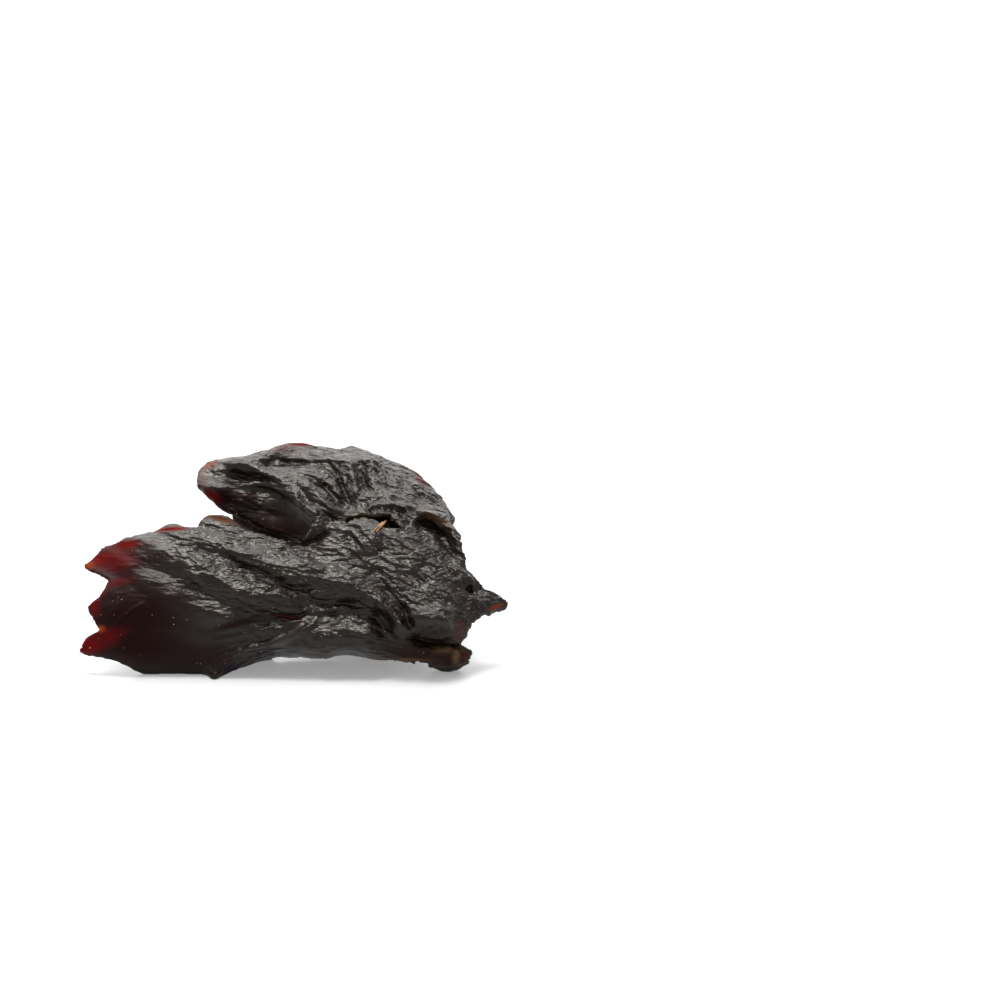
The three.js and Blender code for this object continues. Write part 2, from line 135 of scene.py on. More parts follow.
def finished(piece):
    """The mesh of an object with its modifiers applied; the object itself goes."""
    shown = piece.evaluated_get(bpy.context.evaluated_depsgraph_get())
    mesh = bpy.data.meshes.new_from_object(shown)
    bpy.data.objects.remove(piece)
    return mesh


def vectors(mesh, name):
    """Each point's place or outward direction, as an array."""
    values = np.empty(len(mesh.vertices) * 3, np.float32)
    mesh.vertices.foreach_get(name, values)
    return values.reshape(-1, 3).astype(float)


def set_points(mesh, points):
    mesh.vertices.foreach_set("co", points.astype(np.float32).ravel())


def tree_of(mesh, points):
    """A mesh, its points at the given places, as a tree that a ray can be sent through."""
    return BVHTree.FromPolygons([Vector(p) for p in points], [tuple(f.vertices) for f in mesh.polygons])


def thickness_under(points, outward, tree):
    """How thick the meat is under each point, measured straight through it."""
    thickness = np.full(len(points), float(MOST_THICKNESS))
    for i, (point, normal) in enumerate(zip(points, outward)):
        inward = Vector(-normal)
        hit = tree.ray_cast(Vector(point) + UNDER_SKIN * inward, inward, MOST_THICKNESS)
        if hit[0] is not None:
            thickness[i] = hit[3]
    return thickness


def depth_behind_front(points, tree):
    """How far each point lies behind the first surface that the camera meets on the way to it."""
    depth = np.zeros(len(points))
    for i, point in enumerate(points):
        line = Vector(point) - eye
        hit = tree.ray_cast(eye, line.normalized())
        if hit[0] is not None:
            depth[i] = line.length - hit[3]
    return depth


def smoothstep(values, start, end):
    """A share that rises smoothly from 0 at the start to 1 at the end."""
    share = np.clip((values - start) / (end - start), 0, 1)
    return share * share * (3 - 2 * share)


skin = rounded_copy(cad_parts["dried_liver"])
place = vectors(skin, "co")
outward = vectors(skin, "normal")
tree = tree_of(skin, place)
thickness = thickness_under(place, outward, tree)
sheet = seen(place)
faces_camera = smoothstep(outward @ -np.array(ahead), *FACING)
behind = depth_behind_front(place, tree)
in_view = faces_camera * (1 - smoothstep(behind, *SEEN_DEPTH))
room = LEAST_ROOM + (1 - LEAST_ROOM) * smoothstep(thickness, *THIN_EDGE)

# The upper lobe's tip is a roll: below its crest the meat turns back under, away from the camera, and hangs
# a little lower. Each row is a place on the crest, on the gap between the two lobes, or on the roll's
# right-hand end. The rear lobe, further back, isn't part of it.
CREST = ((-18, 28.3), (-16, 27.8), (-13, 27.6), (-10, 28.2), (-7, 28.8), (-4, 28.2), (-2, 27), (0, 25.6),
         (2.2, 23.9), (4.4, 22.3))
GAP = ((-18, 25.1), (-13.1, 23), (-9.8, 20.7), (-5.7, 19), (-0.6, 17.7), (3.1, 17.4))
ROLL_END = ((17, 1.2), (21.8, 4.6))
ROLL_START = (-18, -15)
CREST_WIDTH = 1.2
END_WIDTH = 0.5
MOST_ROLL = 8
DROOP = 0.3
DROOPING_ROLL = (1, 5)
REAR_LOBE = 10
across, above = sheet.T
below_crest = np.interp(across, *zip(*CREST)) - above
before_end = np.interp(above, *zip(*ROLL_END)) - across
roll = MOST_ROLL * np.tanh(np.maximum(below_crest, 0) / MOST_ROLL) * smoothstep(below_crest, 0, CREST_WIDTH)
roll *= smoothstep(across, *ROLL_START) * smoothstep(before_end, 0, END_WIDTH)
roll *= (place[:, 1] < REAR_LOBE) & (above > np.interp(across, *zip(*GAP)))
droop = DROOP * smoothstep(roll, *DROOPING_ROLL)

# Ridges and furrows that the camera sees. Each has a height, less than nothing for a furrow, a width to the
# left and to the right of its path, and the path itself on the sheet.
FOLDS = [
    # the long ridges that run down to the right from the fingers
    (0.5, 1.6, 3, ((-30.2, 16.2), (-20, 13.7), (-14.4, 11.3), (-8, 8.9), (-2.4, 6.5), (3.4, 3.6))),
    (0.6, 1.4, 1.2, ((-24.8, 19.3), (-16.3, 17.4), (-10.7, 15.7), (-4.7, 13.7))),
    (0.7, 1.6, 2.2, ((-7.2, 16.7), (1.3, 13.5), (6.9, 12.2), (11.5, 10.6), (15.6, 8), (19.5, 4.5))),
    (0.25, 0.25, 0.25, ((-33.4, 1.5), (-32.2, 3.1), (-30.2, 4.6), (-26.8, 6.9))),
    # the hollows between them
    (-0.4, 0.8, 0.8, ((-10.6, 13.7), (-7.2, 12.2), (-3.5, 10.8))),
    (-0.35, 0.8, 0.8, ((-3.3, 10.4), (-0.2, 8.7), (3.5, 7.1))),
    (-0.45, 0.35, 0.35, ((-5, 4.5), (-2.2, 3.9), (-0.2, 3.5), (2.2, 3.1))),
    (-0.4, 1.2, 1.2, ((14.7, 13.5), (15.9, 10.6), (17.2, 7.1))),
    # the ledge over the belly, and the belly below it
    (0.75, 0.35, 0.8, ((-13.8, -3.9), (-8.3, -1.9), (-3.9, -0.6), (1.1, 0.9), (4.8, 3.4))),
    (1.6, 3, 3, ((-0.5, -0.7), (6.9, -0.7), (12.4, -1.1), (18.6, -1.3))),
    (-0.22, 0.22, 0.22, ((11.1, 7.6), (11.3, 4.6), (11.5, 1.3))),
    # the edge of the skin that the flap tore away from, the furrow beside it, and the flap
    (0.5, 0.35, 1.2, ((15.4, 7.5), (17.4, 5.7), (19.3, 3.5), (21.4, 0.7))),
    (-0.35, 0.6, 0.6, ((19.8, 6), (21.5, 3.7), (22.5, 1.6))),
    (1.2, 0.8, 4, ((20.8, 2.7), (24.4, 4.3), (27.2, 5.2), (30.5, 3.9))),
    (0.35, 0.3, 0.3, ((28.8, 4.7), (29.6, 2.8), (30.7, 0.7))),
    (0.3, 0.3, 0.3, ((27.7, 4.8), (28.7, 3), (29.5, 1.1))),
    (-0.8, 0.6, 0.8, ((20.7, 0.3), (24.4, -0.7), (27.2, -1.5), (31.1, -2.6))),
    (0.5, 0.5, 0.8, ((24.7, -2.8), (27.6, -2.4), (30.7, -3))),
    (0.6, 0.6, 0.6, ((26.1, -2.2), (26.9, -2.6))),
    (0.6, 0.6, 0.6, ((27.7, -1.8), (28.8, -2.2))),
    (0.6, 0.6, 0.6, ((29.6, -2.4), (30.4, -2.8))),
    # the neck: its groove, its crease, and the wrinkles inside the crease
    (-0.35, 0.45, 0.45, ((-3.3, 15.2), (-1.3, 16.5), (1.3, 16.9), (4.1, 17.8), (6.8, 19.4))),
    (-0.3, 0.35, 0.35, ((-2.1, 16.4), (-1.3, 15.4), (-0.9, 14.1))),
    (-0.4, 0.4, 0.4, ((3.9, 17.7), (5, 18.5), (6.4, 19.3))),
    (0.45, 0.5, 0.6, ((1.1, 17.4), (3, 19.1), (4.3, 20.7), (5.2, 21.7))),
    (-0.28, 0.3, 0.3, ((9.6, 18.4), (10.6, 15.7), (11.9, 14.4), (13.7, 14.4), (15.6, 15.2),
        (16.5, 16.5), (16.7, 18.8))),
    (0.25, 0.3, 0.3, ((10.7, 19.5), (12.8, 17), (14.6, 14.5))),
    (0.25, 0.3, 0.3, ((12.2, 20), (14.3, 17.8), (15.7, 15.5))),
    (0.25, 0.3, 0.3, ((13.7, 20.2), (15.6, 18.3), (16.6, 16.6))),
    (0.35, 0.45, 0.45, ((12.7, 14.1), (14.2, 14.1))),
    # the rolled rim on the right, the band inside it, and the pit by the root
    (1, 0.9, 0.6, ((21.5, 22.2), (25, 23.1), (27.4, 22.2), (29.3, 19.8), (30.6, 17), (31.9, 12.9))),
    (-1.5, 0.9, 1.1, ((22.1, 21), (25.2, 20.6), (27.2, 18.7), (28.7, 16.5), (30.5, 13.3))),
    (-0.4, 0.5, 0.5, ((24.5, 15.3), (28, 12.2), (31.1, 10.7))),
    (-0.7, 0.4, 0.4, ((32.6, 9.8), (32.8, 8.5), (32.6, 7.3))),
    (0.35, 0.3, 0.3, ((33.3, 9.3), (34.1, 7.2), (34.3, 5.3))),
    (0.3, 0.3, 0.3, ((34, 8), (36.1, 7.4), (38.6, 6.6))),
    # the upper lobe: the broad dents at its tip, and the slits at its top
    (0.5, 1.5, 1.8, ((-13.9, 32.2), (-9.8, 31.5), (-6.9, 30.9), (-3.9, 29.6), (-0.3, 27.1))),
    (0.3, 0.3, 0.3, ((-10.8, 25.5), (-8.7, 24.6), (-6.6, 23.6))),
    (0.3, 0.3, 0.3, ((-9.8, 26.4), (-7.8, 25.4), (-5.9, 24.1))),
    (-0.8, 0.45, 0.45, ((-5.1, 32.4), (-2, 32.4), (0.6, 32), (3.4, 32))),
    (-0.6, 0.4, 0.4, ((3.3, 34.9), (5.4, 34.4), (7.1, 34.4))),
    (-0.5, 0.35, 0.35, ((5.1, 33.3), (7.6, 33.7), (9.3, 34.3))),
    # the fan of strong ridges above the torn edge, and the valleys between them
    (1, 0.5, 0.7, ((0.1, 26.8), (1.7, 24.8), (3.3, 23.5), (5.9, 22))),
    (0.9, 0.45, 0.6, ((1.8, 29.1), (3.9, 27), (6.1, 24.8), (9.5, 22.3))),
    (-1, 0.6, 0.6, ((4.6, 29), (6.5, 26.7), (8, 24.6), (9.4, 23.5))),
    (0.8, 0.5, 0.5, ((5.7, 31.4), (7.4, 29.1), (8.3, 27.2), (9.2, 24.8))),
    (-0.8, 0.5, 0.5, ((8.1, 29.4), (9.4, 27.2), (10.4, 25.4), (11.9, 22.4))),
    (0.9, 0.5, 0.5, ((9.4, 33.2), (10.7, 30.6), (11.5, 28), (12.1, 25.3))),
    (-0.75, 0.4, 0.4, ((12.9, 29.9), (13.5, 27.6), (15.6, 25.5))),
    (0.8, 0.5, 0.5, ((13.2, 33.2), (15, 31.9), (16.1, 30.2), (17.8, 26.8))),
    # the folded hem over the torn edge
    (0.5, 0.5, 0.5, ((12, 22), (14.3, 23.9), (17, 24.3), (19.8, 24.1), (22.6, 23.5), (25.4, 22.8),
        (28.8, 20.8))),
    (-0.2, 0.5, 0.6, ((14.9, 22.6), (17.6, 22.8), (20.2, 22.6), (22.8, 21.9))),
    (0.45, 0.35, 0.35, ((14.3, 24.8), (13.9, 23.3), (14.5, 21.9))),
    (0.4, 0.35, 0.35, ((16.9, 24.8), (16.7, 23), (17.3, 21.7))),
    (0.5, 0.35, 0.35, ((18.4, 23.8), (19.4, 21.7), (20.9, 19.2))),
    (0.4, 0.35, 0.35, ((20, 24.3), (21.3, 22.6), (23, 21.1))),
]
# Bands of skin that lean back, and so catch the light from above, or lean forward where the slope is less
# than nothing. Each has its slope, its width and its path on the sheet. A few widths away from it the skin
# is back where it was.
BANDS = [
    # the front lobe: the fingers, and the ridges that run down from them to the right
    (-0.3, 1.5, ((-36.5, 13.9), (-32, 14.3), (-27.6, 13.9))),
    (0.05, 1.1, ((-31.3, 11.7), (-27.4, 10.2), (-24.6, 9.1), (-21.3, 8))),
    (0.35, 0.4, ((-25.7, 8.7), (-22.4, 7.6), (-19.1, 6.3), (-16.3, 5.2), (-13.1, 4.3), (-9.8, 3))),
    (-0.5, 1, ((-30.2, 14.3), (-24.6, 12.4), (-20, 10.9), (-15, 9.6))),
    (-0.7, 1.1, ((-21.7, 10.4), (-16.3, 8.5), (-11.7, 7), (-8, 5.7), (-3.9, 4.4))),
    (0.45, 0.6, ((-17.6, 12.4), (-13.1, 10.7), (-9.8, 9.1), (-5.7, 7.2), (-0.9, 5))),
    (-0.25, 1.5, ((-28, 6.9), (-20.9, 4.3), (-14.4, 2), (-7, 2.8))),
    (-0.25, 1.2, ((-20.2, 19.6), (-14.4, 20), (-9.4, 17.8))),
    (0.3, 0.9, ((-28.3, 17.4), (-23.7, 16.7), (-19.1, 16.1))),
    (0.45, 0.9, ((-20.9, 15.4), (-16.3, 13.9), (-12.4, 12), (-9.6, 10.6), (-4.6, 8.5))),
    (-0.5, 0.5, ((-18.7, 16.9), (-15.4, 16.3), (-12.6, 15.2), (-9.4, 13.7))),
    (-0.6, 0.8, ((-11.7, 14.3), (-7.6, 12.4), (-4.6, 11.3), (-0.6, 9.8))),
    (-0.3, 0.8, ((-2.4, 10.7), (1.3, 10), (4.3, 9.4), (8.3, 9.1))),
    (0.2, 1.5, ((-8, 16.5), (-0.6, 15), (6.9, 13.9), (12.4, 12.4))),
    (-0.4, 0.6, ((0.6, 8.1), (4.1, 6.9), (6.9, 6.7), (10.9, 6.9))),
    (0.5, 0.6, ((-6.5, 10.9), (-3.3, 9.1), (-0.6, 7.2), (3.1, 4.8))),
    (0.3, 1, ((-10.6, 17.4), (-7, 15.9), (-4.3, 14.6), (-1.5, 14.1), (2.4, 14.1))),
    (0.4, 0.9, ((0.2, 14.8), (4.1, 13.7), (6.9, 12.2), (9.6, 11.7), (13.5, 10))),
    (-0.4, 0.6, ((-4.3, 13.5), (-0.6, 12.4), (2.4, 12), (6.1, 10.7))),
    (0.4, 0.5, ((-2.4, 12.2), (0.9, 11.5), (4.3, 10.7))),
    (0.5, 0.7, ((9.4, 11.3), (13.3, 9.4), (16.1, 8.1), (19.1, 6.1))),
    (-0.2, 0.7, ((3.5, 16.3), (7.2, 14.6), (11.3, 13.9))),
    (0.25, 1.6, ((4.6, 18.7), (9.6, 17.6), (15.2, 16.5))),
    (0.8, 0.4, ((0.9, 7.4), (4.1, 8.7), (7.8, 8.3))),
    (-0.5, 0.8, ((15, 13.1), (17.2, 10.9), (18.5, 7.6))),
    (-0.5, 1, ((16.1, 5.7), (18.3, 2.8), (20.2, -1.7))),
    # the crinkled belly, and the bands over the ledge
    (1.15, 1.4, ((-0.6, 0.2), (5, 2), (9.6, 2.6), (13.3, 2), (18.3, -0.6))),
    (0.75, 1, ((-0.6, -1.7), (6.9, -0.7), (12.4, -0.9), (18.3, -2))),
    (0.8, 0.4, ((4.3, 4.6), (7.6, 5.6), (11.1, 5.2), (14.3, 5.4))),
    (0.9, 0.4, ((1.3, 2), (4.3, 3.3), (6.9, 3.5), (12, 3))),
    (0.9, 0.4, ((2, 0.6), (5.4, 2), (8.3, 2.2), (11.7, 1.5))),
    (0.9, 0.4, ((2.8, -0.9), (6.1, 0.6), (8.7, 0.7), (12, 0))),
    (0.9, 0.4, ((10.6, 3.5), (13.9, 3.1), (17.2, 1.3))),
    (0.9, 0.4, ((10.6, 2), (14.3, 1.5), (17.2, -0.2))),
    (0.9, 0.4, ((10.9, 0.4), (13.5, 0), (16.1, -1.3))),
    (-0.5, 0.4, ((0.2, 4.4), (4.6, 4.3), (8.7, 4.4))),
    (0.5, 0.6, ((-15.7, -0.9), (-9.8, 0.9), (-5.7, 1.7), (-0.2, 1.9))),
    (0.45, 0.4, ((-15.7, -2.8), (-11.1, -1.3), (-6.5, 0))),
    (1.2, 0.4, ((-14.6, -4.3), (-12.8, -3.5), (-8.3, -1.9), (-3.9, -0.6), (2, 1.3))),
    # the flap, its torn edge, the foot, and the skin to the right
    (0.35, 1, ((18.3, 18), (22, 17.2), (25.7, 15.6))),
    (0.1, 0.8, ((23.5, 10.2), (27.2, 8.7), (30.9, 6.5))),
    (1.3, 0.4, ((15.6, 7.4), (18, 5.4), (19.6, 3.3), (21.7, 0.7))),
    (-0.7, 1.4, ((21.3, 1.7), (25.4, 2.4), (30.2, 0.9))),
    (0.5, 0.4, ((21.7, 3.1), (24.6, 4.3), (27.2, 5.4), (29.4, 4.6))),
    (0.6, 0.5, ((23.9, -2.8), (27.4, -2), (30.9, -2.6))),
    (0.4, 0.6, ((21.7, 16.3), (25.7, 14.6), (29.6, 11.5))),
    (0.3, 0.7, ((18.3, 10.6), (23.5, 9.4), (27.2, 8), (31.7, 5.7))),
    (0.2, 2.2, ((16.9, 16.1), (21.7, 13.3), (27.2, 10.6), (31.3, 8.3))),
    (0.5, 0.6, ((3.9, 21.3), (6.9, 20.6), (10.6, 19.3))),
    (0.9, 0.6, ((32.4, 8), (35.4, 7.2), (38.7, 6.3))),
    # the upper lobe: sheen, dents and ripples
    (-0.3, 0.9, ((-15, 29.6), (-12.4, 30.2), (-9.8, 30.6))),
    (-1.15, 1.3, ((-13.1, 31.3), (-9.8, 30.4), (-7.6, 29.8), (-5, 28.9), (-2.6, 27.6), (0.9, 25.4))),
    (-0.3, 1.2, ((-9.1, 27.2), (-5.7, 26.3), (-2.4, 25.2), (2, 23.1))),
    (0.3, 0.5, ((-16.7, 28), (-13.1, 28.3), (-9.8, 28))),
    (0.8, 0.5, ((-5.7, 31.3), (-2, 29.3), (0.6, 27.4), (3.5, 25))),
    (-0.5, 0.4, ((-1.7, 31.7), (1.3, 30.2), (3.5, 28.9), (5.7, 27.2))),
    (0.6, 0.4, ((0.6, 30.7), (3.9, 28.3), (6.5, 26.5), (9.8, 23.5))),
    (-0.5, 0.5, ((-6.5, 32.4), (-2.4, 31.7), (1.3, 31.5), (5.7, 30.6))),
    (0.5, 0.4, ((1.1, 31.9), (4.1, 31.3), (6.9, 30.2))),
    (-0.3, 0.7, ((3.9, 32.8), (7.2, 32.2), (10.4, 32.8))),
    # the fan and the hem
    (0.8, 0.4, ((-0.2, 27.2), (2, 24.8), (3.7, 23.1), (6.7, 21.5))),
    (-0.35, 0.4, ((0.6, 28.3), (3.3, 25.7), (6.3, 23.3))),
    (0.8, 0.4, ((1.9, 29.4), (4.3, 26.9), (6.5, 24.6), (10, 22))),
    (-0.35, 0.4, ((4.3, 29.1), (6.9, 26.5), (9.3, 23.5))),
    (-0.5, 0.5, ((6.3, 33.1), (7.6, 30.9), (8.5, 28.9))),
    (-0.35, 0.5, ((8.3, 29.4), (9.8, 26.9), (10.6, 24.8), (12, 22))),
    (0.5, 0.5, ((9.6, 33.9), (11.1, 30.9), (11.9, 28.1), (12.4, 25.2))),
    (-0.5, 0.6, ((13, 32.4), (13.9, 29.1), (14.8, 25.7))),
    (0.2, 1.5, ((18.3, 30.9), (22, 28.3), (24.6, 25.7), (27.6, 22.4))),
    (-0.6, 0.4, ((15.7, 32.2), (17.6, 29.1), (18.9, 26.3))),
    (0.5, 0.4, ((17, 32.4), (19.1, 29.1), (20.7, 26.1))),
    (-0.6, 0.4, ((18.5, 30.9), (20.7, 27.6), (22.4, 25))),
    (0.5, 0.4, ((19.8, 30.9), (22, 28), (23.9, 24.8))),
    (-0.6, 0.4, ((21.3, 30), (23.5, 26.9), (25.4, 23.9))),
    (0.5, 0.4, ((22.8, 29.8), (25, 26.5), (27, 23.3))),
    (0.7, 0.5, ((12.4, 22.8), (14.3, 24.4), (17, 25), (19.8, 24.8), (22.6, 24.1), (25.4, 23.1),
        (28.7, 21.3))),
]


# Both kinds fade towards the ends of their paths, over a share of the length, and waver a little.
BAND_END = 4
FADE = 0.18
WAVER = 0.22
WAVER_SIZE = 1.9


def beside(points, path):
    """How far points lie to the left of a path, and how much of it reaches them: none past its ends."""
    nearest = np.full(len(points), 1e9)
    side = np.zeros(len(points))
    share = np.zeros(len(points))
    for step, (a, b) in enumerate(zip(path, path[1:])):
        a, b = np.array(a), np.array(b)
        along = np.clip(((points - a) @ (b - a)) / ((b - a) @ (b - a)), 0, 1)
        off = points - a - along[:, None] * (b - a)
        distance = np.linalg.norm(off, axis=1)
        closer = distance < nearest
        nearest[closer] = distance[closer]
        side[closer] = ((b - a)[0] * off[:, 1] - (b - a)[1] * off[:, 0])[closer]
        share[closer] = ((step + along) / (len(path) - 1))[closer]
    return np.sign(side) * nearest, smoothstep(0.5 - np.abs(share - 0.5), 0, FADE)


visible = np.flatnonzero(in_view > 0)
waver = np.array([noise.noise_vector(Vector(place[i]) / WAVER_SIZE) for i in visible])
spots = sheet[visible] + WAVER * waver[:, :2]
folds = np.zeros(len(place))
for height, left_width, right_width, path in FOLDS:
    off, reach = beside(spots, path)
    folds[visible] += height * reach * np.exp(-(off / np.where(off > 0, left_width, right_width)) ** 2)
for slope, width, path in BANDS:
    off, reach = beside(spots, path)
    folds[visible] -= slope * width * reach * np.tanh(off / width) * np.exp(-(off / BAND_END / width) ** 2)
folds *= in_view

# Between them the skin is crinkled all over with short, slightly bent wrinkles. Their run and their
# strength change from place to place: degrees down to the right, strength, and where on the sheet. Where
# the camera doesn't see the skin, their run wanders.
GRAIN = [
    (15, 0.15, -33.9, 14.3), (-10, 0.1, -34.8, 5.9), (10, 0.08, -30.2, -2.4), (20, 0.45, -24.6, 16.1),
    (15, 0.35, -23.7, 10.6), (10, 0.12, -24.6, 1.3), (25, 0.8, -17.2, 17), (20, 0.7, -17.2, 10.6),
    (15, 0.5, -16.3, 5.4), (-75, 0.35, -16.3, 1.9), (-10, 0.4, -13.1, -3.3), (22, 1, -8, 13.9),
    (18, 1, -8, 9.1), (-5, 0.7, -7, 1.7), (20, 0.7, -6.1, 18), (25, 0.9, 1.3, 13.9), (18, 1, 1.3, 8.7),
    (5, 0.8, 5, 5), (3, 0.9, 6.9, 2), (20, 0.9, 14.6, 1.3), (15, 0.6, 7.8, 16.5), (55, 0.8, 12.4, 18),
    (20, 0.9, 9.6, 11.5), (30, 1, 19.8, 16.1), (42, 1, 19.8, 8.7), (42, 1, 27.2, 9.6), (60, 1, 27.2, 17),
    (50, 0.9, 30.9, 6.9), (-10, 0.35, 25.4, 2.2), (0, 0.06, 1.3, -2), (0, 0.06, 10.6, -2.4),
    (15, 1.3, 25.4, -3.9), (5, 0.1, -20.9, -5.2), (60, 0.4, -14.8, 29.4), (5, 0.4, -9.8, 32),
    (15, 0.7, -10.2, 27.2), (12, 0.8, -4.3, 30.4), (25, 0.5, -4.3, 25), (15, 0.05, -3.3, 21.7),
    (5, 0.5, 1.3, 33.7), (38, 0.8, 1.3, 28.7), (45, 0.8, 5, 24.4), (40, 0.8, 7.8, 32.8),
    (62, 0.9, 8.7, 27.2), (90, 0.85, 12.4, 29.1), (62, 0.8, 16.1, 32.8), (72, 0.9, 17, 27.6),
    (52, 0.85, 22, 29.1),
    (20, 0.9, 21.7, 23.9), (55, 0.9, 27.2, 24.4), (75, 0.9, 15.2, 23.3),
]
OUT_OF_VIEW = 0.05
HIDDEN_RUN = math.radians(25)
HIDDEN_STRENGTH = 0.55
WANDER = 1.8
WANDER_SIZE = 11
WRINKLE_SIZES = (0.7, 1.35)
ASTRAY = 0.22
BEND = 0.5
SAME_SIDE = 0.2


def grain_at(points):
    """The run of the wrinkles, in radians, and their strength, at places on the sheet."""
    angle, strength, across, above = np.array(GRAIN).T
    gap = (points[:, :1] - across) ** 2 + (points[:, 1:] - above) ** 2
    weight = 1 / (gap + 1) ** 2
    weight /= weight.sum(axis=1, keepdims=True)
    twice = np.radians(2 * angle)
    run = np.arctan2(weight @ np.sin(twice), weight @ np.cos(twice)) / 2
    return run, weight @ strength


run, strength = grain_at(sheet)
hidden = in_view < OUT_OF_VIEW
wander = np.array([noise.noise(Vector(place[i]) / WANDER_SIZE) for i in np.flatnonzero(hidden)])
run[hidden] = HIDDEN_RUN + WANDER * wander
strength[hidden] = HIDDEN_STRENGTH
near = KDTree(len(place))
for i, point in enumerate(place):
    near.insert(point, i)
near.balance()


def one_in_each(cell):
    """A point in each cell of a grid, chosen by chance."""
    order = chance.permutation(len(place))
    keys = np.floor(place[order] / cell).astype(int)
    return order[np.unique(keys, axis=0, return_index=True)[1]]


def wrinkles(cell, length, width, height):
    """The height of short ridges, one in each cell of a grid."""
    relief = np.zeros(len(place))
    for middle in one_in_each(cell):
        size = chance.uniform(*WRINKLE_SIZES)
        angle = run[middle] + chance.normal(0, ASTRAY)
        normal = Vector(outward[middle])
        along = math.cos(angle) * right - math.sin(angle) * up
        along = (along - along.dot(normal) * normal).normalized()
        athwart = normal.cross(along)
        found = [i for _, i, _ in near.find_range(place[middle], 2 * size * length)]
        offset = place[found] - place[middle]
        a = offset @ np.array(along) / (size * length)
        b = offset @ np.array(athwart) / width + chance.normal(0, BEND) * a * a
        same_side = outward[found] @ outward[middle] > SAME_SIDE
        relief[found] += size * height * np.exp(-a * a - b * b) * same_side
    return relief


# Broad and fine wrinkles: the cell that holds one, its length, its width and its height. The skin is also
# drawn a little out of shape all over, and stays above the table. The net is then thinned, least where the
# camera sees it.
BROAD = (2.0, 2.0, 0.48, 0.15)
FINE = (0.8, 1.0, 0.26, 0.1)
DRAWN = 0.11
DRAWN_SIZE = 2.4
KEPT_FINER = 0.3
relief = strength * (wrinkles(*BROAD) + wrinkles(*FINE))
drawn = np.array([noise.noise_vector(Vector(p) / DRAWN_SIZE) for p in place])
place += outward * (relief * room)[:, None] + DRAWN * drawn
place += np.outer(roll - folds, ahead) - np.outer(droop, up)
place[:, 2] = np.maximum(place[:, 2], 0)
set_points(skin, place)

holder = placed("drawn", skin)
group = holder.vertex_groups.new(name="spare")
group.add(visible.tolist(), KEPT_FINER, "REPLACE")
group.add(np.flatnonzero(in_view <= 0).tolist(), 1.0, "REPLACE")
fewer = holder.modifiers.new("fewer", "DECIMATE")
fewer.vertex_group = group.name
fewer.ratio = MOST_TRIANGLES / (2 * len(skin.polygons))
skin = finished(holder)

